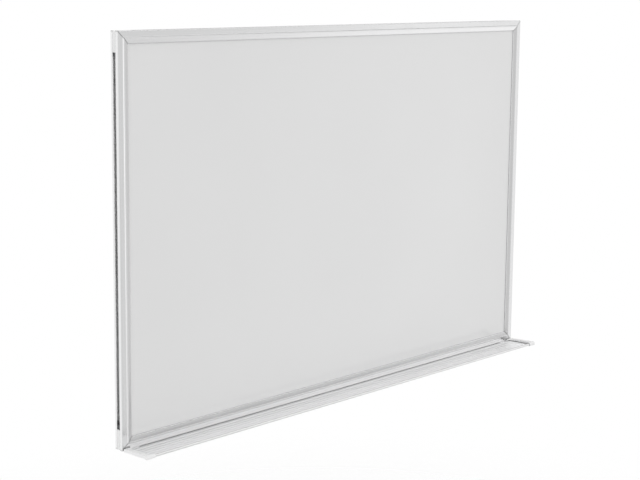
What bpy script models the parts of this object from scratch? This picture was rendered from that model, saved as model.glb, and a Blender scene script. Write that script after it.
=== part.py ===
"""Magnetic whiteboard: a steel-faced panel in a slotted aluminium frame, hung on the wall.

X runs along the board, the front faces -Y and Z is up. The origin is on the wall plane,
in the middle of the top rail's back. Outlines of the rails are points (inward, depth):
inward from the board's outer edge, depth back from the front plane. Outlines of the pen
tray are points (forward, height): forward from the frame's front, height above its base.
"""

import math

import bmesh
import bpy
from mathutils import Vector

MM = 0.001

# The board, and the clearance between two pieces that touch
board_width = 900 * MM
board_height = 600 * MM
fit_gap = 0.3 * MM
cut_overrun = 1 * MM

# Layers of the panel, front to back
sheet_thickness = 0.5 * MM
core_thickness = 6 * MM
backing_thickness = 0.4 * MM
strip_thickness = 1.1 * MM
strip_inset = 1.5 * MM
panel_edge_gap = 0.5 * MM
panel_corner_clip = 4 * MM
core_margin = 0.5 * MM

# Front of the rail: flat band, small step up to a crest, then a slope down to the panel
rail_width = 18 * MM
rail_edge_round = 0.8 * MM
band_depth = 1.1 * MM
step_start = 8.4 * MM
step_end = 9.6 * MM
step_foot_round = 0.5 * MM
step_crest_round = 0.5 * MM
slope_start = 11 * MM
slope_round = 3 * MM
slope_drop = 2.4 * MM
lip_round = 0.7 * MM
lip_depth = 4 * MM

# Slot along the rail's outer side
slot_front_wall = 2.6 * MM
slot_back_wall = 2.3 * MM
slot_front_lip = 6.4 * MM
slot_opening = 7 * MM
slot_lip_thickness = 1.6 * MM
slot_room = 5.8 * MM
rail_web = 1.6 * MM

# Groove behind the panel, where the hangers slide
rear_lip_thickness = 1 * MM
rear_wall_thickness = 1 * MM
groove_bead_height = 0.7 * MM
groove_bead_width = 1.2 * MM

# Hangers and fixing plates of folded steel
plate_thickness = 1 * MM
plate_width = 42 * MM
plate_drop = 27 * MM
plate_corner = 6 * MM
keyhole_radius = 4.6 * MM
keyhole_slot_width = 4.8 * MM
keyhole_slot_rise = 9 * MM
keyhole_below_rail = 16 * MM
fixing_slot_length = 13 * MM
fixing_below_rail = 12 * MM
hanger_from_end = 150 * MM

# Corner cleats, their grub screws and the corner covers
cleat_leg = 36 * MM
cleat_corner_round = 2 * MM
grub_radius = 2 * MM
grub_socket = 0.9 * MM
grub_socket_depth = 2 * MM
grub_from_corner = 21 * MM
cover_leg = 30 * MM
cover_thickness = 1.3 * MM
cover_corner_round = 1.2 * MM
cover_barb_from_corner = 12 * MM
cover_barb_length = 3 * MM
cover_barb_height = 2 * MM
cover_barb_taper = 0.6 * MM

# Pen tray
tray_reach = 55 * MM
tray_plate = 1.2 * MM
tray_floor_lift = 0.4 * MM
tray_rise = 3.2 * MM
tray_jog = 2 * MM
tray_root_margin = 0.8 * MM
tray_notch_gap = 2 * MM
tray_joint = 1.2 * MM
nose_radius = 2.1 * MM
nose_bore_radius = 1.1 * MM
nose_slit_width = 0.8 * MM
rib_count = 5
rib_height = 0.35 * MM
rib_width = 1 * MM
rib_first = 9 * MM
rib_last = 43 * MM

# End caps of the pen tray
cap_inset = 1.5 * MM
cap_end_wall = 2 * MM
cap_block = 5 * MM
cap_hook = 11 * MM
cap_hook_front = 3 * MM
cap_collar = 12 * MM
cap_height = 3.4 * MM
cap_floor_gap = 0.8 * MM
cap_nose_wall = 0.9 * MM
cap_corner_round = 1 * MM
cap_peg_length = 6 * MM

# Screws and slot nuts that hold the tray
tray_fixing_shares = (-0.41, -0.14, 0.14, 0.41)
nut_length = 16 * MM
nut_thickness = 2.6 * MM
nut_corner = 1.5 * MM
screw_radius = 2 * MM
screw_head_radius = 3.8 * MM
screw_head_height = 1.9 * MM
screw_head_round = 0.5 * MM
screw_socket = 1.25 * MM
screw_socket_depth = 1.2 * MM

# Faces round a full turn, on large and small rounds
round_steps = 24
small_round_steps = 4

# Depths behind the front plane, worked out from the layers
sheet_front = lip_depth + fit_gap
sheet_back = sheet_front + sheet_thickness
core_front = sheet_back + fit_gap
core_back = core_front + core_thickness
backing_front = core_back + fit_gap
backing_back = backing_front + backing_thickness
strip_front = backing_back + fit_gap
strip_back = strip_front + strip_thickness
pocket_back = strip_back + fit_gap
groove_front = pocket_back + rear_lip_thickness
groove_depth = groove_bead_height + plate_thickness + 2 * fit_gap
groove_back = groove_front + groove_depth
frame_depth = groove_back + rear_wall_thickness

# Places inward from the outer edge
slot_floor = slot_lip_thickness + slot_room
pocket_floor = slot_floor + rail_web
panel_edge = pocket_floor + panel_edge_gap

# Places of the board in the world
top_z = rail_width / 2
base_z = top_z - board_height
middle_z = (top_z + base_z) / 2
half_width = board_width / 2
slot_middle = slot_front_lip + slot_opening / 2
cap_outer_x = half_width - cap_inset
tray_half = cap_outer_x - cap_end_wall - fit_gap


def clear_scene():
    for obj in list(bpy.data.objects):
        bpy.data.objects.remove(obj, do_unlink=True)


def make_material(name, colour, roughness, metallic):
    material = bpy.data.materials.new(name)
    material.use_nodes = True
    shader = material.node_tree.nodes["Principled BSDF"]
    shader.inputs["Base Color"].default_value = (*colour, 1)
    shader.inputs["Roughness"].default_value = roughness
    shader.inputs["Metallic"].default_value = metallic
    return material


def make_materials():
    return {
        "enamel": make_material("white_enamelled_steel", (0.86, 0.86, 0.86), 0.12, 0),
        "core": make_material("core_board", (0.55, 0.43, 0.29), 0.9, 0),
        "zinc": make_material("galvanised_sheet", (0.62, 0.64, 0.66), 0.45, 1),
        "foam": make_material("black_foam", (0.05, 0.05, 0.05), 0.9, 0),
        "aluminium": make_material("satin_anodised_aluminium", (0.78, 0.78, 0.79), 0.32, 1),
        "cleat": make_material("cast_cleat_metal", (0.5, 0.51, 0.52), 0.5, 1),
        "screw": make_material("zinc_plated_screw", (0.68, 0.69, 0.71), 0.3, 1),
        "cover": make_material("light_grey_plastic", (0.78, 0.78, 0.78), 0.45, 0),
        "cap": make_material("pale_plastic", (0.84, 0.84, 0.84), 0.42, 0),
    }


def finish(name, mesh_data, material, smooth_angle=math.radians(30)):
    """Turn a bmesh into a named object with its material."""
    bmesh.ops.recalc_face_normals(mesh_data, faces=mesh_data.faces)
    mesh = bpy.data.meshes.new(name)
    mesh_data.to_mesh(mesh)
    mesh_data.free()
    mesh.shade_smooth()
    mesh.set_sharp_from_angle(angle=smooth_angle)
    mesh.materials.append(material)
    obj = bpy.data.objects.new(name, mesh)
    bpy.context.scene.collection.objects.link(obj)
    return obj


def finish_cutter(name, mesh_data):
    """Turn a bmesh into an object that only cuts or joins."""
    bmesh.ops.recalc_face_normals(mesh_data, faces=mesh_data.faces)
    mesh = bpy.data.meshes.new(name)
    mesh_data.to_mesh(mesh)
    mesh_data.free()
    cutter = bpy.data.objects.new(name, mesh)
    cutter.hide_render = True
    cutter.display_type = "WIRE"
    bpy.context.scene.collection.objects.link(cutter)
    return cutter


def combine(piece, tool, operation):
    modifier = piece.modifiers.new(tool.name, "BOOLEAN")
    modifier.operation = operation
    modifier.solver = "EXACT"
    modifier.object = tool


def arc(centre, radius, start, end, steps):
    """Points on an arc in an outline's plane, with angles in degrees."""
    points = []
    for i in range(steps + 1):
        angle = math.radians(start + (end - start) * i / steps)
        points.append((centre[0] + radius * math.cos(angle), centre[1] + radius * math.sin(angle)))
    return points


def join_rings(mesh_data, rings):
    """Skin a run of rings of matching points, and close both ends."""
    loops = [[mesh_data.verts.new(point) for point in ring] for ring in rings]
    for lower, upper in zip(loops, loops[1:]):
        for i in range(len(lower)):
            j = (i + 1) % len(lower)
            mesh_data.faces.new((lower[i], lower[j], upper[j], upper[i]))
    mesh_data.faces.new(loops[0])
    mesh_data.faces.new(reversed(loops[-1]))
    return loops


def extruded(name, first, last, material):
    mesh_data = bmesh.new()
    join_rings(mesh_data, (first, last))
    return finish(name, mesh_data, material)


def y_at(depth):
    """World Y of a depth behind the front plane."""
    return depth - frame_depth


def tray_y(forward):
    return -frame_depth - forward


def tray_z(height):
    return base_z + height


def tray_ring(x, outline):
    return [(x, tray_y(forward), tray_z(height)) for forward, height in outline]


# The frame


def fillet(before, corner, after, radius, steps):
    """Arc points that round the corner between two straight runs."""
    towards = [Vector(point) - Vector(corner) for point in (before, after)]
    half_angle = towards[0].angle(towards[1]) / 2
    inwards = (towards[0].normalized() + towards[1].normalized()).normalized()
    centre = Vector(corner) + inwards * radius / math.sin(half_angle)
    reach = radius / math.tan(half_angle)
    start = Vector(corner) + towards[0].normalized() * reach - centre
    end = Vector(corner) + towards[1].normalized() * reach - centre
    points = []
    for i in range(steps + 1):
        share = i / steps
        spoke = (start * (1 - share) + end * share).normalized() * radius
        points.append(tuple(centre + spoke))
    return points


def rail_front():
    """The front of the rail, from the outer edge to the back of the front lip."""
    lip_centre = (rail_width - lip_round, slope_drop + lip_round)
    edge_centre = (rail_edge_round, band_depth + rail_edge_round)
    points = arc(edge_centre, rail_edge_round, 180, 270, small_round_steps)
    band_end = (step_start, band_depth)
    crest = (step_end, 0)
    brow = (slope_start, 0)
    slope_end = (lip_centre[0], slope_drop)
    points += fillet(points[-1], band_end, crest, step_foot_round, small_round_steps)
    points += fillet(band_end, crest, brow, step_crest_round, small_round_steps)
    points += fillet(crest, brow, slope_end, slope_round, small_round_steps)
    points += arc(lip_centre, lip_round, 270, 360, small_round_steps)
    points.append((rail_width, lip_depth))
    return points


def rail_back():
    """The panel pocket, the hanger groove and the rail's back."""
    bead_start = rail_width - groove_bead_width
    bead_back = groove_front + groove_bead_height
    points = [(pocket_floor, lip_depth), (pocket_floor, pocket_back), (rail_width, pocket_back)]
    points += [(rail_width, bead_back), (bead_start, bead_back), (bead_start, groove_front)]
    points += [(pocket_floor, groove_front), (pocket_floor, groove_back), (rail_width, groove_back)]
    points.append((rail_width, frame_depth))
    corner = (rail_edge_round, frame_depth - rail_edge_round)
    return points + arc(corner, rail_edge_round, 90, 180, small_round_steps)


def rail_slot():
    """The undercut slot in the rail's outer side, from back to front."""
    room_back = frame_depth - slot_back_wall
    slot_end = slot_front_lip + slot_opening
    points = [(0, slot_end), (slot_lip_thickness, slot_end), (slot_lip_thickness, room_back)]
    points += [(slot_floor, room_back), (slot_floor, slot_front_wall)]
    points += [(slot_lip_thickness, slot_front_wall), (slot_lip_thickness, slot_front_lip)]
    points.append((0, slot_front_lip))
    return points


def rail_outline():
    return rail_front() + rail_back() + rail_slot()


def make_rail(side, material):
    """One rail, cut at 45 degrees so that each outline point ends on the mitre plane."""
    lying = side in ("top", "bottom")
    half_length = half_width if lying else board_height / 2
    mitre_gap = fit_gap / math.sqrt(2)
    rings = []
    for end in (-1, 1):
        ring = []
        for inward, depth in rail_outline():
            run = end * (half_length - inward - mitre_gap)
            ring.append(place_on_side(side, run, inward, depth))
        rings.append(ring)
    return extruded(f"frame_rail_{side}", rings[0], rings[1], material)


def place_on_side(side, run, inward, depth):
    """World point of a place on one side of the frame; run goes along the side from its middle."""
    y = y_at(depth)
    if side == "top":
        return (run, y, top_z - inward)
    if side == "bottom":
        return (run, y, base_z + inward)
    if side == "left":
        return (-half_width + inward, y, middle_z + run)
    return (half_width - inward, y, middle_z + run)


def side_rings(side, outline_at_run):
    """Rings of world points along one side, from pairs of run and (inward, depth) outline."""
    rings = []
    for run, outline in outline_at_run:
        rings.append([place_on_side(side, run, inward, depth) for inward, depth in outline])
    return rings


# The panel


def panel_layer(name, margin, front, back, material):
    """One flat layer with clipped corners."""
    x = half_width - panel_edge - margin
    z = board_height / 2 - panel_edge - margin
    clip = panel_corner_clip
    outline = [(x - clip, z), (clip - x, z), (-x, z - clip), (-x, clip - z)]
    outline += [(clip - x, -z), (x - clip, -z), (x, clip - z), (x, z - clip)]
    rings = []
    for depth in (front, back):
        rings.append([(px, y_at(depth), middle_z + pz) for px, pz in outline])
    return extruded(name, rings[0], rings[1], material)


def make_foam_strip(side, material):
    """A strip in the rail's pocket behind the panel; the upright strips end short of the lying ones."""
    lying = side in ("top", "bottom")
    inner = rail_width - strip_inset
    outer = pocket_floor + strip_inset
    if lying:
        half_length = half_width - outer
    else:
        half_length = board_height / 2 - inner - fit_gap
    outline = [(outer, strip_front), (inner, strip_front), (inner, strip_back), (outer, strip_back)]
    rings = side_rings(side, [(-half_length, outline), (half_length, outline)])
    return extruded(f"foam_strip_{side}", rings[0], rings[1], material)


# The corners


def corner_point(across, up, along_x, along_z, depth):
    """World point near a corner, from its distances to the outer side and the outer top or base."""
    x = across * (half_width - along_x)
    z = top_z - along_z if up > 0 else base_z + along_z
    return (x, y_at(depth), z)


def corner_piece(name, across, up, outline, front, back, material):
    """Extrude an outline of (along_x, along_z) points between two depths."""
    rings = []
    for depth in (front, back):
        rings.append([corner_point(across, up, px, pz, depth) for px, pz in outline])
    return extruded(name, rings[0], rings[1], material)


def leg_angle(outer, inner, leg, corner_round, details):
    """Outline of an angle piece with one leg along each side; details go on one leg's near face."""
    lying = [(leg, outer), (leg, inner), (inner, inner)]
    standing = [(inner, leg), (outer, leg)]
    mirrored = [(pz, px) for px, pz in reversed(details)]
    centre = (outer + corner_round, outer + corner_round)
    corner = arc(centre, corner_round, 180, 270, small_round_steps)
    return lying + standing + mirrored + corner + details


def make_cleat(across, up, name, material):
    """An angle that fills the slot rooms of two rails, with notches for the cover's barbs."""
    outer = slot_lip_thickness + fit_gap
    inner = slot_floor - fit_gap
    start = cover_barb_from_corner - fit_gap
    end = start + cover_barb_length + 2 * fit_gap
    deep = cover_thickness + cover_barb_height + fit_gap
    notch = [(start, outer), (start, deep), (end, deep), (end, outer)]
    outline = leg_angle(outer, inner, cleat_leg, cleat_corner_round, notch)
    front = slot_front_wall + fit_gap
    back = frame_depth - slot_back_wall - fit_gap
    cleat = corner_piece(name, across, up, outline, front, back, material)
    cutter_mesh = bmesh.new()
    radius = grub_radius + fit_gap
    for start_point, end_point in grub_axes(across, up, outer - cut_overrun, inner + cut_overrun):
        add_round_bar(cutter_mesh, start_point, end_point, radius)
    combine(cleat, finish_cutter(f"{name}_holes", cutter_mesh), "DIFFERENCE")
    return cleat


def grub_axes(across, up, outer, inner):
    """End points of the two screw axes of a corner, from the slot inwards."""
    along = grub_from_corner
    axes = []
    for lying in (True, False):
        pair = []
        for inward in (outer, inner):
            px, pz = (along, inward) if lying else (inward, along)
            pair.append(Vector(corner_point(across, up, px, pz, slot_middle)))
        axes.append(pair)
    return axes


def make_cover(across, up, name, material):
    """A plastic angle that closes the slot mouths at a corner and snaps into the cleat."""
    start = cover_barb_from_corner
    end = start + cover_barb_length
    tip = cover_thickness + cover_barb_height
    barb = [(end, cover_thickness), (end - cover_barb_taper, tip)]
    barb += [(start + cover_barb_taper, tip), (start, cover_thickness)]
    lying = [(cover_leg, 0), (cover_leg, cover_thickness)] + barb
    standing = [(pz, px) for px, pz in reversed(lying)]
    inner_corner = [(cover_thickness, cover_thickness)]
    centre = (cover_corner_round, cover_corner_round)
    corner = arc(centre, cover_corner_round, 180, 270, small_round_steps)
    outline = lying + inner_corner + standing + corner
    front = slot_front_lip + fit_gap
    back = slot_front_lip + slot_opening - fit_gap
    return corner_piece(name, across, up, outline, front, back, material)


# Round pieces


def hexagon_radius(across_corners, angle):
    """Radius of a hexagon at an angle, so that a ring of points can lie on its sides."""
    sixth = math.pi / 3
    turn = (angle + sixth / 2) % sixth - sixth / 2
    return across_corners * math.cos(sixth / 2) / math.cos(turn)


def ring_round(centre, axis, radius, hexagon=False):
    side = axis.orthogonal().normalized()
    other = axis.cross(side)
    points = []
    for i in range(round_steps):
        angle = 2 * math.pi * i / round_steps
        reach = hexagon_radius(radius, angle) if hexagon else radius
        points.append(centre + reach * (math.cos(angle) * side + math.sin(angle) * other))
    return points


def add_round_bar(mesh_data, start, end, radius):
    axis = (end - start).normalized()
    join_rings(mesh_data, (ring_round(start, axis, radius), ring_round(end, axis, radius)))


def add_turned(mesh_data, start, axis, stations):
    """Skin rings along an axis; each station is (distance, radius, hexagon)."""
    rings = []
    for distance, radius, hexagon in stations:
        rings.append(ring_round(start + distance * axis, axis, radius, hexagon))
    join_rings(mesh_data, rings)


def make_grub_screws(across, up, name, material):
    """Two headless screws in a cleat, socket outwards, tip against the slot's floor."""
    outer = slot_lip_thickness + fit_gap
    inner = slot_floor - fit_gap
    for leg, (mouth, tip) in zip(("lying", "upright"), grub_axes(across, up, outer, inner)):
        axis = (mouth - tip).normalized()
        length = (mouth - tip).length
        chamfer = grub_radius / 4
        stations = [
            (0, grub_radius / 2, False),
            (chamfer * 2, grub_radius, False),
            (length - chamfer, grub_radius, False),
            (length, grub_radius - chamfer, False),
            (length, grub_socket, True),
            (length - grub_socket_depth, grub_socket, True),
        ]
        mesh_data = bmesh.new()
        add_turned(mesh_data, tip, axis, stations)
        finish(f"{name}_{leg}", mesh_data, material)


# The pen tray


def floor_height(forward):
    """Top of the tray's floor, which rises towards the front."""
    return tray_floor_lift + tray_rise * forward / tray_reach


def nose_centre():
    forward = tray_reach - nose_radius
    return (forward, floor_height(forward) - tray_plate + nose_radius)


def tray_root_back():
    """How far the tray's root reaches back under the frame, past the slot's mouth."""
    return slot_front_lip + slot_opening + tray_root_margin


def tray_ribs():
    """Low ribs along the floor, back to front."""
    points = []
    pitch = (rib_last - rib_first) / (rib_count - 1)
    for i in range(rib_count):
        middle = rib_first + pitch * i
        for place, rise in ((-2, 0), (-1, rib_height), (1, rib_height), (2, 0)):
            forward = middle + place * rib_width / 4
            points.append((forward, floor_height(forward) + rise))
    return points


def tray_outline():
    """The tray's extrusion: root under the rail, open joint, ribbed floor and hollow nose."""
    root_top = -fit_gap
    root_base = root_top - tray_plate
    back = -tray_root_back()
    floor_start = tray_joint - band_depth
    points = [(back, root_base), (back, root_top), (floor_start, root_top)]
    points.append((floor_start, floor_height(floor_start)))
    points += tray_ribs()
    centre = nose_centre()
    inner_angle = math.degrees(math.asin((nose_radius - tray_plate) / nose_radius))
    slit_outer = math.degrees(math.asin(nose_slit_width / 2 / nose_radius))
    slit_inner = math.degrees(math.asin(nose_slit_width / 2 / nose_bore_radius))
    points += arc(centre, nose_radius, 180 + inner_angle, -90 + slit_outer, round_steps)
    points += arc(centre, nose_bore_radius, -90 + slit_inner, 270 - slit_inner, round_steps // 2)
    points += arc(centre, nose_radius, 270 - slit_outer, 270, 1)
    points.append((tray_jog, floor_height(tray_jog) - tray_plate))
    points.append((0, root_base))
    return points


def add_tray_block(mesh_data, x_range, forward_range, height_range):
    """A box in the tray's own measures, for cutting."""
    back, front = forward_range
    low, high = height_range
    outline = [(back, low), (front, low), (front, high), (back, high)]
    join_rings(mesh_data, [tray_ring(x, outline) for x in x_range])


def make_tray(material):
    """Extrude the tray, then notch it for the corner covers and end caps and drill it."""
    ends = (-tray_half, tray_half)
    rings = [tray_ring(x, tray_outline()) for x in ends]
    tray = extruded("pen_tray", rings[0], rings[1], material)
    root_back = -tray_root_back() - cut_overrun
    under = -fit_gap - tray_plate - cut_overrun
    root_mesh = bmesh.new()
    for side in (-1, 1):
        outside = side * (tray_half + cut_overrun)
        cover_end = side * (half_width - cover_leg - tray_notch_gap)
        add_tray_block(root_mesh, (outside, cover_end), (root_back, 0), (under, 0))
    for share in tray_fixing_shares:
        x = share * board_width
        start = Vector((x, y_at(slot_middle), tray_z(under)))
        end = Vector((x, y_at(slot_middle), tray_z(cut_overrun)))
        add_round_bar(root_mesh, start, end, screw_radius + fit_gap)
    combine(tray, finish_cutter("pen_tray_root_cuts", root_mesh), "DIFFERENCE")
    return tray


def nose_collar_radius():
    return nose_radius + fit_gap + cap_nose_wall


def cap_outline():
    """Side view of the end cap: straight base, rounded nose and a top that follows the floor."""
    centre = nose_centre()
    radius = nose_collar_radius()
    back = fit_gap
    base = floor_height(back) - tray_plate
    top = floor_height(back) + cap_height
    base_angle = math.degrees(math.asin(nose_radius / radius))
    points = [(back, base)]
    points += arc(centre, radius, -180 + base_angle, 90, round_steps)
    top_centre = (back + cap_corner_round, top - cap_corner_round)
    return points + arc(top_centre, cap_corner_round, 90, 180, small_round_steps)


def tray_envelope():
    """The tray's plate and nose, grown by the gaps, which the end cap makes room for."""
    centre = nose_centre()
    radius = nose_radius + fit_gap
    back = fit_gap - cut_overrun
    base = floor_height(back) - tray_plate - fit_gap
    top_angle = math.degrees(math.asin((nose_radius - tray_plate - cap_floor_gap) / radius))
    base_forward = centre[0] - radius
    points = [(back, base), (back, floor_height(back) + cap_floor_gap)]
    points += arc(centre, radius, 180 + top_angle, -90, round_steps)
    points.append((base_forward, floor_height(base_forward) - tray_plate - fit_gap))
    return points


def cut_cap_block(cap, x_range, forward_range):
    """Cut the cap's block away over a run of X, between two places forward of the frame."""
    low = -tray_plate - cap_floor_gap - cut_overrun
    high = floor_height(tray_reach) + cap_height + nose_radius
    mesh_data = bmesh.new()
    add_tray_block(mesh_data, x_range, forward_range, (low, high))
    count = len(cap.modifiers)
    combine(cap, finish_cutter(f"{cap.name}_cut_{count}", mesh_data), "DIFFERENCE")


def make_end_cap(across, name, material):
    """An end wall with a block and hook over the floor, a nose collar and a peg in the bore."""
    outer_x = across * cap_outer_x
    wall_x = across * (cap_outer_x - cap_end_wall)
    block_x = across * (tray_half - cap_block)
    hook_x = across * (tray_half - cap_hook)
    collar_x = across * (tray_half - cap_collar)
    rings = [tray_ring(x, cap_outline()) for x in (outer_x, collar_x)]
    cap = extruded(name, rings[0], rings[1], material)
    room_mesh = bmesh.new()
    room = (wall_x, collar_x - across * cut_overrun)
    join_rings(room_mesh, [tray_ring(x, tray_envelope()) for x in room])
    combine(cap, finish_cutter(f"{name}_room", room_mesh), "DIFFERENCE")
    forward, height = nose_centre()
    peg_mesh = bmesh.new()
    start = Vector((wall_x + across * cap_end_wall / 2, tray_y(forward), tray_z(height)))
    end = Vector((wall_x - across * cap_peg_length, tray_y(forward), tray_z(height)))
    add_round_bar(peg_mesh, start, end, nose_bore_radius - fit_gap)
    combine(cap, finish_cutter(f"{name}_peg", peg_mesh), "UNION")
    cut_cap_block(cap, (hook_x, room[1]), (0, cap_hook_front + cut_overrun))
    cut_cap_block(cap, (block_x, room[1]), (cap_hook_front, forward - nose_radius))


def make_slot_nut(x, name, material):
    """A slot nut on the slot's lips inside the bottom rail, with its screw hole."""
    front = slot_front_wall + fit_gap
    back = frame_depth - slot_back_wall - fit_gap
    low = slot_lip_thickness + fit_gap
    high = low + nut_thickness
    half = nut_length / 2
    clip = nut_corner
    outline = [(half - clip, front), (clip - half, front), (-half, front + clip)]
    outline += [(-half, back - clip), (clip - half, back), (half - clip, back)]
    outline += [(half, back - clip), (half, front + clip)]
    rings = []
    for height in (low, high):
        rings.append([(x + px, y_at(depth), tray_z(height)) for px, depth in outline])
    nut = extruded(name, rings[0], rings[1], material)
    hole_mesh = bmesh.new()
    start = Vector((x, y_at(slot_middle), tray_z(low - cut_overrun)))
    end = Vector((x, y_at(slot_middle), tray_z(high + cut_overrun)))
    add_round_bar(hole_mesh, start, end, screw_radius + fit_gap)
    combine(nut, finish_cutter(f"{name}_hole", hole_mesh), "DIFFERENCE")


def make_tray_screw(x, name, material):
    """A screw from below, through the tray's root into its slot nut."""
    seat = -fit_gap - tray_plate - fit_gap
    tip = slot_lip_thickness + fit_gap + nut_thickness + fit_gap
    length = tip - seat
    start = Vector((x, y_at(slot_middle), tray_z(seat)))
    stations = [
        (screw_socket_depth - screw_head_height, screw_socket, True),
        (-screw_head_height, screw_socket, True),
        (-screw_head_height, screw_head_radius - screw_head_round, False),
        (screw_head_round - screw_head_height, screw_head_radius, False),
        (0, screw_head_radius, False),
        (0, screw_radius, False),
        (length - screw_radius / 2, screw_radius, False),
        (length, screw_radius / 2, False),
    ]
    mesh_data = bmesh.new()
    add_turned(mesh_data, start, Vector((0, 0, 1)), stations)
    finish(name, mesh_data, material)


# Hangers and fixing plates


def hanger_profile():
    """Side view of the folded plate: a doubled edge in the groove, then the plain plate."""
    hem_front = groove_front + fit_gap
    plate_back = groove_back - fit_gap
    plate_front = plate_back - plate_thickness
    hem_start = pocket_floor + fit_gap
    hem_end = rail_width - groove_bead_width - fit_gap
    plate_end = rail_width + plate_drop
    fold = (plate_back - hem_front) / 2
    fold_centre = (hem_start + fold, hem_front + fold)
    points = [(plate_end, plate_back)]
    points += arc(fold_centre, fold, 90, 270, 2 * small_round_steps)
    points += [(hem_end, hem_front), (hem_end, plate_front), (plate_end, plate_front)]
    return points


def hanger_hole_outline(keyhole):
    """Outline (across, inward) of the keyhole or of the upright fixing slot."""
    half = keyhole_slot_width / 2
    if keyhole:
        hole = (0, rail_width + keyhole_below_rail)
        slot_end = (0, hole[1] - keyhole_slot_rise)
        opening = math.degrees(math.asin(half / keyhole_radius))
        points = arc(hole, keyhole_radius, -90 + opening, 270 - opening, round_steps)
        return points + arc(slot_end, half, 180, 360, round_steps // 2)
    middle = rail_width + fixing_below_rail
    straight = fixing_slot_length / 2 - half
    points = arc((0, middle + straight), half, 0, 180, round_steps // 2)
    return points + arc((0, middle - straight), half, 180, 360, round_steps // 2)


def round_free_corners(mesh_data, free_z):
    """Round the two corners of a plate's free end."""
    corners = []
    for edge in mesh_data.edges:
        ends = [vert.co for vert in edge.verts]
        at_end = all(abs(end.z - free_z) < fit_gap / 2 for end in ends)
        if at_end and abs(ends[0].x - ends[1].x) < fit_gap / 2:
            corners.append(edge)
    bmesh.ops.bevel(
        mesh_data,
        geom=corners,
        offset=plate_corner,
        segments=small_round_steps,
        profile=0.5,
        affect="EDGES",
    )


def make_hanger(name, side, x, keyhole, material):
    """A folded steel plate that slides in the rail's rear groove, with its screw hole."""
    ends = (-plate_width / 2, plate_width / 2)
    mesh_data = bmesh.new()
    join_rings(mesh_data, side_rings(side, [(end, hanger_profile()) for end in ends]))
    round_free_corners(mesh_data, place_on_side(side, 0, rail_width + plate_drop, 0)[2])
    hanger = finish(name, mesh_data, material)
    hole_rings = []
    for depth in (groove_front, groove_back + cut_overrun):
        outline = hanger_hole_outline(keyhole)
        hole_rings.append([place_on_side(side, px, inward, depth) for px, inward in outline])
    hole_mesh = bmesh.new()
    join_rings(hole_mesh, hole_rings)
    hole = finish_cutter(f"{name}_hole", hole_mesh)
    combine(hanger, hole, "DIFFERENCE")
    hanger.location.x = x
    hole.location.x = x


def build():
    clear_scene()
    materials = make_materials()
    panel_layer("writing_sheet", 0, sheet_front, sheet_back, materials["enamel"])
    panel_layer("core_board", core_margin, core_front, core_back, materials["core"])
    panel_layer("backing_sheet", 0, backing_front, backing_back, materials["zinc"])
    for side in ("top", "bottom", "left", "right"):
        make_rail(side, materials["aluminium"])
        make_foam_strip(side, materials["foam"])
    for up, level in ((1, "top"), (-1, "bottom")):
        for across, hand in ((-1, "left"), (1, "right")):
            make_cleat(across, up, f"corner_cleat_{level}_{hand}", materials["cleat"])
            make_cover(across, up, f"corner_cover_{level}_{hand}", materials["cover"])
            x = across * (half_width - hanger_from_end)
            kind = "wall_hanger" if up > 0 else "lower_fixing_plate"
            make_hanger(f"{kind}_{hand}", level, x, up > 0, materials["screw"])
            make_grub_screws(across, up, f"grub_screw_{level}_{hand}", materials["screw"])
    make_tray(materials["aluminium"])
    make_end_cap(-1, "tray_end_cap_left", materials["cap"])
    make_end_cap(1, "tray_end_cap_right", materials["cap"])
    for number, share in enumerate(tray_fixing_shares, start=1):
        x = share * board_width
        make_slot_nut(x, f"tray_slot_nut_{number}", materials["screw"])
        make_tray_screw(x, f"tray_screw_{number}", materials["screw"])


build()
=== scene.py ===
import math

import bpy
from mathutils import Matrix, Vector


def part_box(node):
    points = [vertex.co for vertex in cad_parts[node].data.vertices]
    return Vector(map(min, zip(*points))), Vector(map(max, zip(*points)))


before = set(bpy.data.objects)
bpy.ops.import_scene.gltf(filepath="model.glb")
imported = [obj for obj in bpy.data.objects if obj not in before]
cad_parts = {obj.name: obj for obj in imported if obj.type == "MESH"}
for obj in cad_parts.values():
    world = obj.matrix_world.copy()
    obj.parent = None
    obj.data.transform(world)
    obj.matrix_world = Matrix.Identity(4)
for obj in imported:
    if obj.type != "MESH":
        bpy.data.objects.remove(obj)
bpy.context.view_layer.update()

# Lengths in metres
MM = 0.001

# Camera of the photograph: the lens in millimetres, the rise as a share of the picture's width
camera_place = Vector((-1.5576, -1.5473, 0.0861))
camera_turn = math.radians(44.390)
camera_tilt = math.radians(-8.212)
camera_roll = math.radians(0.556)
camera_lens = 76.416
camera_rise = -0.10625

# The board
rail_low, rail_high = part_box("frame_rail_left")
board_middle_z = (rail_low.z + rail_high.z) / 2
board_half_height = (rail_high.z - rail_low.z) / 2
board_half_width = -rail_low.x
board_front, board_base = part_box("frame_rail_bottom")[0].yz
tray_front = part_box("pen_tray")[0].y

# Half widths of the dark line of a mitred joint and of the faint shade beside it
joint_core = 0.3 * MM
joint_end = 0.9 * MM
beside_core = 0.5 * MM
beside_end = 3.2 * MM

# Where the walls of the frame's outer slots lie, whose colour gets painted light: distances in from the
# frame's outline, and back from its front, at which the mask of the walls starts, is full, is still full
# and ends. The slots' floor is deeper.
slot_inward = (0.1 * MM, 0.5 * MM, 6.9 * MM, 7.3 * MM)
slot_back = (2.0 * MM, 2.5 * MM, 15.8 * MM, 16.2 * MM)

# Painted shade in the joint of tray and frame is full within this distance of the joint
joint_shade_core = 0.5 * MM

# Painted shade darkens the lip of the tray up to the first distance from its front, and is gone from the
# second
lip_shade_core = 2.5 * MM
lip_shade_end = 4.0 * MM

# How far the outlines of the zinc crystals wander
crystal_wander = 2.5 * MM

# Stretches that turn a cloudy pattern into streaks, as factors along X, Y and Z
wiped_streaks = (1, 1, 7)
crystal_feathers = (1, 1, 8)
lying_fibres = (1, 1, 6)
upright_fibres = (6, 1, 1)

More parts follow.
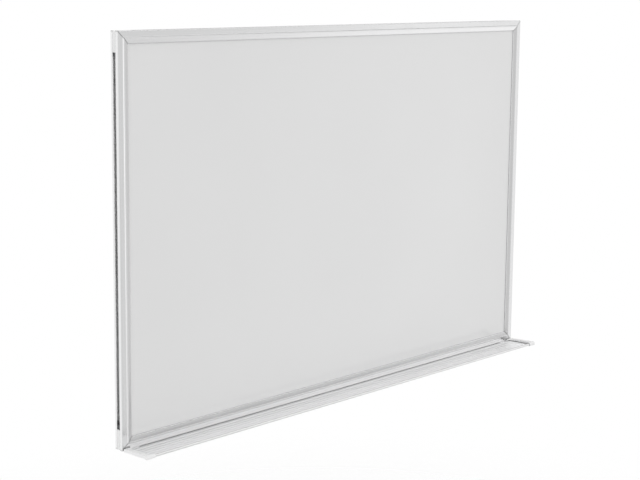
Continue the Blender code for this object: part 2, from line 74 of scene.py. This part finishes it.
# Floor under the hanging board. It is solid up to the inner radius and fades out up to the outer one,
# and the lift brightens it where it is seen, straight or mirrored.
floor_level = -1.15
floor_radius = 1.5
floor_solid_radius = 0.35
floor_sides = 96
floor_tone = 0.9
floor_roughness = 0.8
floor_gloss = 0.1
floor_lift = 0.2

# Light of the room. Each soft box has the compass angles and the heights, in degrees, where it starts,
# is full, is still full and ends, and then its strength. Angle 0 is straight in front of the board, and
# angles grow towards +X. A box of negative strength is a darker place in the room. The camera itself
# sees plain white behind the object. What metal and glass mirror is brighter by the same share
# everywhere, so that the plain places of the room show as white there too.
room_light = 0.72
plain_white = 1.0
soft_boxes = {
    "behind_camera": ((-88, -70, -30, -12), (-27, -8, 20, 45), 0.36),
    "left_rear": ((-179, -165, -125, -110), (-65, -45, 5, 30), 0.26),
    "front_right": ((39.5, 50.5, 51.2, 52.2), (-30, -12, 2, 6), 0.34),
    "far_right": ((52.2, 53.5, 58, 64), (-30, -20, 2, 8), 0.16),
    "overhead": ((-85, -60, 60, 70), (17, 22, 62, 80), 0.40),
    "overhead_right": ((34, 50, 68, 80), (14, 20, 36, 46), 0.50),
    "gap_under_overhead": ((-10, 10, 38, 58), (4, 9, 16, 19), -0.34),
    "low_right": ((46, 58, 66, 74), (-42, -36, -23, -16), 0.32),
    "dark_upper_right": ((66, 76, 100, 120), (18, 28, 50, 65), -0.26),
    "dark_front": ((2, 10, 20, 30), (-30, -20, 0, 8), -0.10),
    "dark_right": ((66, 73, 96, 110), (-34, -22, 6, 16), -0.08),
}

# Run of the drawn lines, as repeats a metre along X, Y and Z
lines_along_x = (5.0, 2600.0, 2600.0)
lines_along_z = (2600.0, 2600.0, 5.0)
rolling_lines = (9.0, 900.0, 900.0)
plate_lines = (30.0, 1800.0, 900.0)
screw_lines = (1500.0, 1500.0, 400.0)

# The finish of each node of the frame, by the start of its name
finishes = {
    "writing_sheet": "enamel",
    "core_board": "core",
    "backing_sheet": "galvanised",
    "frame_rail_top": "lying_aluminium",
    "frame_rail_bottom": "lying_aluminium",
    "frame_rail_left": "upright_aluminium",
    "frame_rail_right": "upright_aluminium",
    "foam_strip": "foam",
    "corner_cleat": "cleat",
    "corner_cover": "cover",
    "grub_screw": "screw",
    "wall_hanger": "plate",
    "lower_fixing_plate": "plate",
    "pen_tray": "tray_aluminium",
    "tray_end_cap": "cap",
    "tray_slot_nut": "screw",
    "tray_screw": "screw",
}

# Sockets that the shared effects have in common
place_input = ("Place", "NodeSocketVector", (0, 0, 0))
mask_output = ("Mask", "NodeSocketFloat")
height_output = ("Height", "NodeSocketFloat")
shade_output = ("Shade", "NodeSocketFloat")


def grey(level, extra_blue=0.0):
    return (level, level, level + extra_blue)


def add_node(tree, kind, **settings):
    """A new node, with its settings by name."""
    node = tree.nodes.new(kind)
    for key, value in settings.items():
        setattr(node, key, value)
    return node


def feed(tree, socket, source):
    """Link a source into a socket, or set the socket to a plain value."""
    if isinstance(source, bpy.types.NodeSocket):
        tree.links.new(source, socket)
    else:
        socket.default_value = source


def calculate(tree, operation, first, second=0.0, clamp=False):
    """The result of a named operation on one or two values."""
    node = add_node(tree, "ShaderNodeMath", operation=operation, use_clamp=clamp)
    feed(tree, node.inputs[0], first)
    feed(tree, node.inputs[1], second)
    return node.outputs[0]


def add(tree, first, second):
    return calculate(tree, "ADD", first, second)


def subtract(tree, first, second):
    return calculate(tree, "SUBTRACT", first, second)


def multiply(tree, first, second, clamp=False):
    return calculate(tree, "MULTIPLY", first, second, clamp)


def spread(tree, value, low, high, new_low=0.0, new_high=1.0):
    """Carry a value smoothly from one range to another."""
    node = add_node(tree, "ShaderNodeMapRange", interpolation_type="SMOOTHSTEP")
    feed(tree, node.inputs["Value"], value)
    feed(tree, node.inputs["From Min"], low)
    feed(tree, node.inputs["From Max"], high)
    feed(tree, node.inputs["To Min"], new_low)
    feed(tree, node.inputs["To Max"], new_high)
    return node.outputs["Result"]


def between(tree, value, edges):
    """1 between the middle two of four edges, falling smoothly to 0 at the outer two."""
    start, full, still_full, end = edges
    rise = spread(tree, value, start, full)
    fall = spread(tree, value, still_full, end, 1.0, 0.0)
    return multiply(tree, rise, fall)


def vary(tree, mask, start, end):
    """A value that runs from start to end as a mask runs from 0 to 1."""
    return spread(tree, mask, 0.0, 1.0, start, end)


def stretch(tree, place, scale):
    """A place with its X, Y and Z multiplied one by one."""
    node = add_node(tree, "ShaderNodeVectorMath", operation="MULTIPLY")
    feed(tree, node.inputs[0], place)
    feed(tree, node.inputs[1], scale)
    return node.outputs["Vector"]


def split(tree, place):
    """The X, Y and Z of a place."""
    node = add_node(tree, "ShaderNodeSeparateXYZ")
    feed(tree, node.inputs["Vector"], place)
    return node.outputs


def noise(tree, place, scale, detail=2.0, roughness=0.5):
    """A cloudy pattern of values round 0.5."""
    node = add_node(tree, "ShaderNodeTexNoise")
    feed(tree, node.inputs["Vector"], place)
    feed(tree, node.inputs["Scale"], scale)
    feed(tree, node.inputs["Detail"], detail)
    feed(tree, node.inputs["Roughness"], roughness)
    return node.outputs["Fac"]


def new_group(name, inputs, outputs):
    """An empty node group, what it is given and what it gives out."""
    tree = bpy.data.node_groups.new(name, "ShaderNodeTree")
    for label, kind, value in inputs:
        socket = tree.interface.new_socket(label, in_out="INPUT", socket_type=kind)
        socket.default_value = value
    for label, kind in outputs:
        tree.interface.new_socket(label, in_out="OUTPUT", socket_type=kind)
    return tree, tree.nodes.new("NodeGroupInput").outputs, tree.nodes.new("NodeGroupOutput").inputs


def place_group(tree, group, **values):
    """Put a node group in a material, and feed its inputs by name."""
    node = add_node(tree, "ShaderNodeGroup", node_tree=group)
    for key, value in values.items():
        feed(tree, node.inputs[key], value)
    return node.outputs


def make_drawn_lines():
    """Fine lines along an extrusion or a rolled sheet."""
    tree, given, out = new_group(
        "drawn_lines",
        [place_input, ("Fineness", "NodeSocketVector", (1, 1, 1))],
        [height_output, shade_output])
    along = stretch(tree, given["Place"], given["Fineness"])
    fine = noise(tree, along, scale=1.0, detail=3.0, roughness=0.6)
    broad = noise(tree, along, scale=0.16)
    fine_share = 0.55
    mixed = add(tree, multiply(tree, fine, fine_share), multiply(tree, broad, 1 - fine_share))
    feed(tree, out["Height"], fine)
    feed(tree, out["Shade"], spread(tree, mixed, low=0.32, high=0.68))
    return tree


def make_moulded_grain():
    """The fine pitted skin of moulded plastic or of a cast piece."""
    tree, given, out = new_group(
        "moulded_grain",
        [place_input, ("Fineness", "NodeSocketFloat", 2500)],
        [height_output, shade_output])
    pits = noise(tree, given["Place"], scale=given["Fineness"], detail=3.0, roughness=0.55)
    flow = noise(tree, given["Place"], scale=multiply(tree, given["Fineness"], 0.02))
    feed(tree, out["Height"], pits)
    feed(tree, out["Shade"], spread(tree, flow, low=0.3, high=0.7))
    return tree


def make_edge_wear():
    """A patchy mask of the edges that hands and tools rub, and the normal that rounds them."""
    tree, given, out = new_group(
        "edge_wear",
        [place_input, ("Reach", "NodeSocketFloat", 0.5 * MM), ("Patchiness", "NodeSocketFloat", 180)],
        [mask_output, ("Rounded", "NodeSocketVector")])
    rounded = add_node(tree, "ShaderNodeBevel", samples=4)
    feed(tree, rounded.inputs["Radius"], given["Reach"])
    plain = add_node(tree, "ShaderNodeNewGeometry")
    likeness = add_node(tree, "ShaderNodeVectorMath", operation="DOT_PRODUCT")
    feed(tree, likeness.inputs[0], rounded.outputs["Normal"])
    feed(tree, likeness.inputs[1], plain.outputs["Normal"])
    edge = spread(tree, likeness.outputs["Value"], low=0.995, high=0.90)
    blotches = noise(tree, given["Place"], scale=given["Patchiness"], detail=3.0, roughness=0.6)
    patches = spread(tree, blotches, low=0.35, high=0.65)
    feed(tree, out["Mask"], multiply(tree, edge, patches, clamp=True))
    feed(tree, out["Rounded"], rounded.outputs["Normal"])
    return tree


def past_outline(tree, place):
    """How far a place is past the frame's sides, and past its top or base. Inside, both are negative."""
    parts = split(tree, place)
    across = calculate(tree, "ABSOLUTE", parts["X"])
    up = calculate(tree, "ABSOLUTE", subtract(tree, parts["Z"], board_middle_z))
    return subtract(tree, across, board_half_width), subtract(tree, up, board_half_height)


def make_mitre_shade():
    """A mask along the four mitred joints of the frame: dark in the joint, faint beside it."""
    tree, given, out = new_group(
        "mitre_shade",
        [place_input],
        [("Joint", "NodeSocketFloat"), ("Beside", "NodeSocketFloat")])
    past_side, past_end = past_outline(tree, given["Place"])
    distance = calculate(tree, "ABSOLUTE", subtract(tree, past_side, past_end))
    feed(tree, out["Joint"], spread(tree, distance, joint_core, joint_end, 1.0, 0.0))
    feed(tree, out["Beside"], spread(tree, distance, beside_core, beside_end, 1.0, 0.0))
    return tree


def make_slot_painted_light():
    """A mask of the walls of the frame's outer slots, whose colour is painted lighter as painted light."""
    tree, given, out = new_group(
        "slot_painted_light",
        [place_input],
        [mask_output])
    past_side, past_end = past_outline(tree, given["Place"])
    inward = multiply(tree, calculate(tree, "MAXIMUM", past_side, past_end), -1.0)
    back = subtract(tree, split(tree, given["Place"])["Y"], board_front)
    inside = between(tree, inward, slot_inward)
    behind = between(tree, back, slot_back)
    feed(tree, out["Mask"], multiply(tree, inside, behind))
    return tree


def make_joint_shade():
    """A patchy mask of painted shade along the line where the tray meets the frame."""
    tree, given, out = new_group(
        "joint_painted_shade",
        [place_input, ("Reach", "NodeSocketFloat", 4 * MM)],
        [mask_output])
    parts = split(tree, given["Place"])
    apart = add_node(tree, "ShaderNodeCombineXYZ")
    feed(tree, apart.inputs["Y"], subtract(tree, parts["Y"], board_front))
    feed(tree, apart.inputs["Z"], subtract(tree, parts["Z"], board_base))
    distance = add_node(tree, "ShaderNodeVectorMath", operation="LENGTH")
    feed(tree, distance.inputs[0], apart.outputs["Vector"])
    near = spread(tree, distance.outputs["Value"], joint_shade_core, given["Reach"], 1.0, 0.0)
    blotches = noise(tree, given["Place"], scale=60.0, detail=3.0, roughness=0.6)
    patches = spread(tree, blotches, low=0.3, high=0.7, new_low=0.75, new_high=1.0)
    feed(tree, out["Mask"], multiply(tree, near, patches))
    return tree


def make_handling_marks():
    """Soft smudges and faint wiped streaks."""
    tree, given, out = new_group(
        "handling_marks",
        [place_input, ("Size", "NodeSocketFloat", 14)],
        [mask_output])
    patches = noise(tree, given["Place"], scale=given["Size"], detail=4.0, roughness=0.6)
    wiped_place = stretch(tree, given["Place"], wiped_streaks)
    wiped = noise(tree, wiped_place, scale=given["Size"], detail=5.0, roughness=0.65)
    smudges = spread(tree, patches, low=0.42, high=0.75)
    streaks = spread(tree, wiped, low=0.35, high=0.75)
    feed(tree, out["Mask"], multiply(tree, smudges, streaks))
    return tree


def make_zinc_spangle():
    """The crystals of hot-dip galvanising, each with its own tone and its own run of fine feathers."""
    tree, given, out = new_group(
        "zinc_spangle",
        [place_input, ("Crystals", "NodeSocketFloat", 90)],
        [height_output, shade_output])
    wander = add_node(tree, "ShaderNodeTexNoise")
    feed(tree, wander.inputs["Vector"], given["Place"])
    feed(tree, wander.inputs["Scale"], multiply(tree, given["Crystals"], 2.5))
    shifted = add_node(tree, "ShaderNodeVectorMath", operation="MULTIPLY_ADD")
    feed(tree, shifted.inputs[0], wander.outputs["Color"])
    feed(tree, shifted.inputs[1], (crystal_wander, crystal_wander, crystal_wander))
    feed(tree, shifted.inputs[2], given["Place"])
    cells = add_node(tree, "ShaderNodeTexVoronoi", feature="F1")
    feed(tree, cells.inputs["Vector"], shifted.outputs["Vector"])
    feed(tree, cells.inputs["Scale"], given["Crystals"])
    tone = add_node(tree, "ShaderNodeSeparateColor")
    feed(tree, tone.inputs["Color"], cells.outputs["Color"])
    turned = add_node(tree, "ShaderNodeVectorRotate", rotation_type="Y_AXIS")
    feed(tree, turned.inputs["Vector"], given["Place"])
    feed(tree, turned.inputs["Angle"], multiply(tree, tone.outputs["Green"], math.tau))
    feather_place = stretch(tree, turned.outputs["Vector"], crystal_feathers)
    feather_scale = multiply(tree, given["Crystals"], 3.0)
    feathers = noise(tree, feather_place, scale=feather_scale, detail=3.0, roughness=0.6)
    feather_share = 0.4
    plain = multiply(tree, tone.outputs["Red"], 1 - feather_share)
    feathered = multiply(tree, spread(tree, feathers, low=0.3, high=0.7), feather_share)
    feed(tree, out["Shade"], add(tree, plain, feathered))
    feed(tree, out["Height"], feathers)
    return tree


def make_fibre_mat():
    """Short pressed fibres, some lying and some upright."""
    tree, given, out = new_group(
        "fibre_mat",
        [place_input, ("Fineness", "NodeSocketFloat", 600)],
        [height_output, shade_output])
    lying_place = stretch(tree, given["Place"], lying_fibres)
    upright_place = stretch(tree, given["Place"], upright_fibres)
    lying = noise(tree, lying_place, scale=given["Fineness"], detail=4.0, roughness=0.7)
    upright = noise(tree, upright_place, scale=given["Fineness"], detail=4.0, roughness=0.7)
    both = calculate(tree, "MAXIMUM", lying, upright)
    feed(tree, out["Height"], both)
    feed(tree, out["Shade"], spread(tree, both, low=0.35, high=0.8))
    return tree


def make_effects():
    """The node groups that the materials share."""
    return {
        "lines": make_drawn_lines(),
        "grain": make_moulded_grain(),
        "wear": make_edge_wear(),
        "mitre": make_mitre_shade(),
        "slot_light": make_slot_painted_light(),
        "joint_shade": make_joint_shade(),
        "marks": make_handling_marks(),
        "spangle": make_zinc_spangle(),
        "fibres": make_fibre_mat(),
    }


def start_material(name, metallic=0.0):
    """A material, its node tree, its shader's inputs, and the object's own coordinates."""
    material = bpy.data.materials.new(name)
    material.use_nodes = True
    tree = material.node_tree
    shader = tree.nodes["Principled BSDF"].inputs
    shader["Metallic"].default_value = metallic
    place = add_node(tree, "ShaderNodeTexCoord").outputs["Object"]
    return material, tree, shader, place


def tint(tree, shade, dark, light):
    """A colour that runs from dark to light with a shade."""
    node = add_node(tree, "ShaderNodeMix", data_type="RGBA")
    feed(tree, node.inputs["Factor"], shade)
    feed(tree, node.inputs["A"], (*dark, 1.0))
    feed(tree, node.inputs["B"], (*light, 1.0))
    return node.outputs["Result"]


def tint_over(tree, under, over, mask, strength):
    """A colour laid over another where a mask is strong."""
    node = add_node(tree, "ShaderNodeMix", data_type="RGBA")
    feed(tree, node.inputs["Factor"], multiply(tree, mask, strength))
    feed(tree, node.inputs["A"], under)
    feed(tree, node.inputs["B"], (*over, 1.0))
    return node.outputs["Result"]


def raise_surface(tree, height, depth, strength, edges=None):
    """A bumped normal, on top of the edges' rounded one where it is given."""
    node = add_node(tree, "ShaderNodeBump")
    feed(tree, node.inputs["Height"], height)
    feed(tree, node.inputs["Distance"], depth)
    feed(tree, node.inputs["Strength"], strength)
    if edges is not None:
        feed(tree, node.inputs["Normal"], edges)
    return node.outputs["Normal"]


def satin_aluminium(name, effects, fineness, brightness=0.60, roughness=0.17, mitred=True):
    """Anodised extrusion: fine lines along its length, silky sheen, brighter on rubbed edges.

    A mitred rail is shaded at its ends, with painted light on the walls of its slot. A tray has painted
    shade on its front lip.
    """
    material, tree, shader, place = start_material(name, metallic=1.0)
    lines = place_group(tree, effects["lines"], Place=place, Fineness=fineness)
    marks = place_group(tree, effects["marks"], Place=place, Size=22.0)
    wear = place_group(tree, effects["wear"], Place=place, Reach=0.3 * MM)
    joint_shade = place_group(tree, effects["joint_shade"], Place=place, Reach=5.5 * MM)
    dark = grey(brightness, extra_blue=0.003)
    light = grey(brightness + 0.045, extra_blue=0.003)
    colour = tint(tree, lines["Shade"], dark, light)
    colour = tint_over(tree, colour, grey(0.68), wear["Mask"], strength=0.3)
    # Painted shade where the tray meets the frame
    colour = tint_over(tree, colour, grey(0.32), joint_shade["Mask"], strength=0.22)
    if mitred:
        slot_light = place_group(tree, effects["slot_light"], Place=place)
        mitre = place_group(tree, effects["mitre"], Place=place)
        # Painted light: the walls of the slot are painted nearly white
        colour = tint_over(tree, colour, grey(0.92), slot_light["Mask"], strength=1.0)
        colour = tint_over(tree, colour, grey(0.29), mitre["Beside"], strength=0.22)
        colour = tint_over(tree, colour, grey(0.22), mitre["Joint"], strength=0.35)
    else:
        # Painted shade on the tray's front lip
        lip_shade = spread(tree, split(tree, place)["Y"], tray_front + lip_shade_core, tray_front + lip_shade_end, 1.0, 0.0)
        colour = tint_over(tree, colour, grey(0.66), lip_shade, strength=1.0)
    feed(tree, shader["Base Color"], colour)
    gloss = vary(tree, lines["Shade"], roughness, roughness + 0.07)
    smudges = multiply(tree, marks["Mask"], 0.05)
    feed(tree, shader["Roughness"], add(tree, gloss, smudges))
    normal = raise_surface(tree, lines["Height"], depth=0.004 * MM, strength=0.5, edges=wear["Rounded"])
    feed(tree, shader["Normal"], normal)
    return material


def white_enamel(effects):
    """Glossy fired enamel with a faint orange peel and the trace of wiping."""
    material, tree, shader, place = start_material("white_enamel")
    marks = place_group(tree, effects["marks"], Place=place, Size=5.0)
    peel = noise(tree, place, scale=420.0)
    cloud = noise(tree, place, scale=3.0)
    colour = tint(tree, spread(tree, cloud, low=0.3, high=0.7), grey(0.774), grey(0.789))
    feed(tree, shader["Base Color"], colour)
    feed(tree, shader["Roughness"], vary(tree, marks["Mask"], 0.11, 0.19))
    feed(tree, shader["Normal"], raise_surface(tree, peel, depth=0.006 * MM, strength=0.35))
    shader["Coat Weight"].default_value = 0.12
    shader["Coat Roughness"].default_value = 0.06
    return material


def moulded_plastic(name, effects, dark, light, roughness):
    """Light moulded plastic with a fine etched skin."""
    material, tree, shader, place = start_material(name)
    grain = place_group(tree, effects["grain"], Place=place, Fineness=2200.0)
    marks = place_group(tree, effects["marks"], Place=place, Size=60.0)
    wear = place_group(tree, effects["wear"], Place=place, Reach=0.35 * MM)
    colour = tint(tree, grain["Shade"], dark, light)
    colour = tint_over(tree, colour, grey(0.9), wear["Mask"], strength=0.35)
    feed(tree, shader["Base Color"], colour)
    feed(tree, shader["Roughness"], vary(tree, marks["Mask"], roughness, roughness + 0.1))
    normal = raise_surface(tree, grain["Height"], depth=0.02 * MM, strength=0.4, edges=wear["Rounded"])
    feed(tree, shader["Normal"], normal)
    return material


def galvanised_sheet(effects):
    """Hot-dip galvanised steel with its spangle and rolling lines."""
    material, tree, shader, place = start_material("galvanised_sheet", metallic=1.0)
    spangle = place_group(tree, effects["spangle"], Place=place, Crystals=150.0)
    lines = place_group(tree, effects["lines"], Place=place, Fineness=rolling_lines)
    marks = place_group(tree, effects["marks"], Place=place, Size=6.0)
    colour = tint(tree, spangle["Shade"], (0.36, 0.367, 0.374), (0.44, 0.447, 0.454))
    colour = tint_over(tree, colour, grey(0.36), marks["Mask"], strength=0.5)
    feed(tree, shader["Base Color"], colour)
    gloss = vary(tree, spangle["Shade"], 0.48, 0.34)
    rolled = multiply(tree, lines["Shade"], 0.05)
    feed(tree, shader["Roughness"], add(tree, gloss, rolled))
    feed(tree, shader["Normal"], raise_surface(tree, spangle["Height"], depth=0.02 * MM, strength=0.3))
    return material


def zinc_plated(name, effects, fineness):
    """Bright zinc plating over stamped or turned steel."""
    material, tree, shader, place = start_material(name, metallic=1.0)
    lines = place_group(tree, effects["lines"], Place=place, Fineness=fineness)
    marks = place_group(tree, effects["marks"], Place=place, Size=70.0)
    wear = place_group(tree, effects["wear"], Place=place, Reach=0.3 * MM, Patchiness=400.0)
    colour = tint(tree, lines["Shade"], (0.54, 0.55, 0.565), (0.61, 0.62, 0.635))
    colour = tint_over(tree, colour, (0.53, 0.525, 0.50), marks["Mask"], strength=0.5)
    colour = tint_over(tree, colour, grey(0.66), wear["Mask"], strength=0.7)
    feed(tree, shader["Base Color"], colour)
    feed(tree, shader["Roughness"], vary(tree, marks["Mask"], 0.24, 0.42))
    normal = raise_surface(tree, lines["Height"], depth=0.01 * MM, strength=0.4, edges=wear["Rounded"])
    feed(tree, shader["Normal"], normal)
    return material


def pressed_fibreboard(effects):
    """Raw brown fibreboard, as its cut edge shows it."""
    material, tree, shader, place = start_material("pressed_fibreboard")
    fibres = place_group(tree, effects["fibres"], Place=place, Fineness=500.0)
    colour = tint(tree, fibres["Shade"], (0.36, 0.26, 0.16), (0.62, 0.48, 0.32))
    feed(tree, shader["Base Color"], colour)
    shader["Roughness"].default_value = 0.88
    feed(tree, shader["Normal"], raise_surface(tree, fibres["Height"], depth=0.12 * MM, strength=0.6))
    return material


def cell_foam(effects):
    """Black foam with open pits."""
    material, tree, shader, place = start_material("black_cell_foam")
    grain = place_group(tree, effects["grain"], Place=place, Fineness=1400.0)
    colour = tint(tree, grain["Height"], (0.012, 0.012, 0.013), (0.06, 0.06, 0.062))
    feed(tree, shader["Base Color"], colour)
    shader["Roughness"].default_value = 0.93
    feed(tree, shader["Normal"], raise_surface(tree, grain["Height"], depth=0.3 * MM, strength=0.8))
    return material


def die_cast_zinc(effects):
    """Dull dark zinc with the skin of its casting."""
    material, tree, shader, place = start_material("die_cast_zinc", metallic=1.0)
    grain = place_group(tree, effects["grain"], Place=place, Fineness=1100.0)
    wear = place_group(tree, effects["wear"], Place=place, Reach=0.4 * MM)
    colour = tint(tree, grain["Shade"], (0.11, 0.112, 0.115), (0.15, 0.154, 0.158))
    colour = tint_over(tree, colour, (0.36, 0.36, 0.365), wear["Mask"], strength=0.4)
    feed(tree, shader["Base Color"], colour)
    feed(tree, shader["Roughness"], vary(tree, grain["Shade"], 0.42, 0.55))
    normal = raise_surface(tree, grain["Height"], depth=0.04 * MM, strength=0.6, edges=wear["Rounded"])
    feed(tree, shader["Normal"], normal)
    return material


def make_materials():
    """The material of each finish."""
    effects = make_effects()
    return {
        "enamel": white_enamel(effects),
        "lying_aluminium": satin_aluminium("satin_aluminium_lying", effects, lines_along_x),
        "upright_aluminium": satin_aluminium("satin_aluminium_upright", effects, lines_along_z),
        "tray_aluminium": satin_aluminium("satin_aluminium_tray", effects, lines_along_x,
                                          brightness=0.81, roughness=0.34, mitred=False),
        "cover": moulded_plastic("light_grey_plastic", effects, grey(0.83), grey(0.86), roughness=0.4),
        "cap": moulded_plastic("pale_plastic", effects, grey(0.88), grey(0.91), roughness=0.36),
        "galvanised": galvanised_sheet(effects),
        "plate": zinc_plated("zinc_plated_plate", effects, plate_lines),
        "screw": zinc_plated("zinc_plated_screw", effects, screw_lines),
        "core": pressed_fibreboard(effects),
        "foam": cell_foam(effects),
        "cleat": die_cast_zinc(effects),
    }


def dress_frame(materials):
    """Give each node of the frame the material of its finish."""
    for name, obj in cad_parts.items():
        finish = next(finish for start, finish in finishes.items() if name.startswith(start))
        for slot in obj.material_slots:
            slot.material = materials[finish]


def mirrored_rays(tree, rays):
    """1 for what metal mirrors or glass lets through, and 0 for all else."""
    return calculate(tree, "ADD", rays["Is Glossy Ray"], rays["Is Transmission Ray"], clamp=True)


def make_floor():
    """A pale round floor that fades into the white room and keeps the soft shadow."""
    mesh = bpy.data.meshes.new("studio_floor")
    turns = [math.tau * side / floor_sides for side in range(floor_sides)]
    ring = [(floor_radius * math.cos(turn), floor_radius * math.sin(turn), 0) for turn in turns]
    mesh.from_pydata(ring, [], [list(range(floor_sides))])
    floor = bpy.data.objects.new("studio_floor", mesh)
    bpy.context.scene.collection.objects.link(floor)
    floor.location.z = floor_level
    material, tree, shader, place = start_material("pale_floor")
    shader["Base Color"].default_value = (*grey(floor_tone), 1)
    shader["Roughness"].default_value = floor_roughness
    shader["Specular IOR Level"].default_value = floor_gloss
    far = add_node(tree, "ShaderNodeVectorMath", operation="LENGTH")
    feed(tree, far.inputs[0], place)
    solid = spread(tree, far.outputs["Value"], floor_solid_radius, floor_radius, 1.0, 0.0)
    feed(tree, shader["Alpha"], solid)
    rays = add_node(tree, "ShaderNodeLightPath").outputs
    seen = calculate(tree, "ADD", rays["Is Camera Ray"], mirrored_rays(tree, rays), clamp=True)
    shader["Emission Color"].default_value = (1, 1, 1, 1)
    feed(tree, shader["Emission Strength"], multiply(tree, seen, floor_lift))
    mesh.materials.append(material)


def make_room():
    """A white room: plain white behind the object, and softly uneven light on it."""
    world = bpy.data.worlds.new("studio_room")
    bpy.context.scene.world = world
    world.use_nodes = True
    tree = world.node_tree
    background = tree.nodes["Background"]
    direction = split(tree, add_node(tree, "ShaderNodeTexCoord").outputs["Generated"])
    forward = multiply(tree, direction["Y"], -1.0)
    compass = calculate(tree, "DEGREES", calculate(tree, "ARCTAN2", direction["X"], forward))
    height = calculate(tree, "DEGREES", calculate(tree, "ARCSINE", direction["Z"]))
    level = room_light
    for angles, heights, strength in soft_boxes.values():
        inside = multiply(tree, between(tree, compass, angles), between(tree, height, heights))
        level = add(tree, level, multiply(tree, inside, strength))
    rays = add_node(tree, "ShaderNodeLightPath").outputs
    lift = vary(tree, mirrored_rays(tree, rays), 1.0, plain_white / room_light)
    seen = add_node(tree, "ShaderNodeMix", data_type="FLOAT")
    feed(tree, seen.inputs["Factor"], rays["Is Camera Ray"])
    feed(tree, seen.inputs["A"], multiply(tree, level, lift))
    feed(tree, seen.inputs["B"], plain_white)
    feed(tree, background.inputs["Strength"], seen.outputs["Result"])
    background.inputs["Color"].default_value = (1, 1, 1, 1)


def make_camera():
    """The photograph's viewpoint."""
    data = bpy.data.cameras.new("photo_camera")
    data.lens = camera_lens
    data.shift_y = camera_rise
    camera = bpy.data.objects.new("photo_camera", data)
    bpy.context.scene.collection.objects.link(camera)
    forward = Vector((math.sin(camera_turn) * math.cos(camera_tilt),
                      math.cos(camera_turn) * math.cos(camera_tilt),
                      math.sin(camera_tilt)))
    right = Vector((math.cos(camera_turn), -math.sin(camera_turn), 0))
    up = right.cross(forward)
    across = right * math.cos(camera_roll) + up * math.sin(camera_roll)
    upward = -right * math.sin(camera_roll) + up * math.cos(camera_roll)
    turn = Matrix((across, upward, -forward)).transposed().to_4x4()
    camera.matrix_world = Matrix.Translation(camera_place) @ turn
    bpy.context.scene.camera = camera


dress_frame(make_materials())
make_floor()
make_room()
make_camera()
bpy.context.scene.view_settings.view_transform = "Standard"
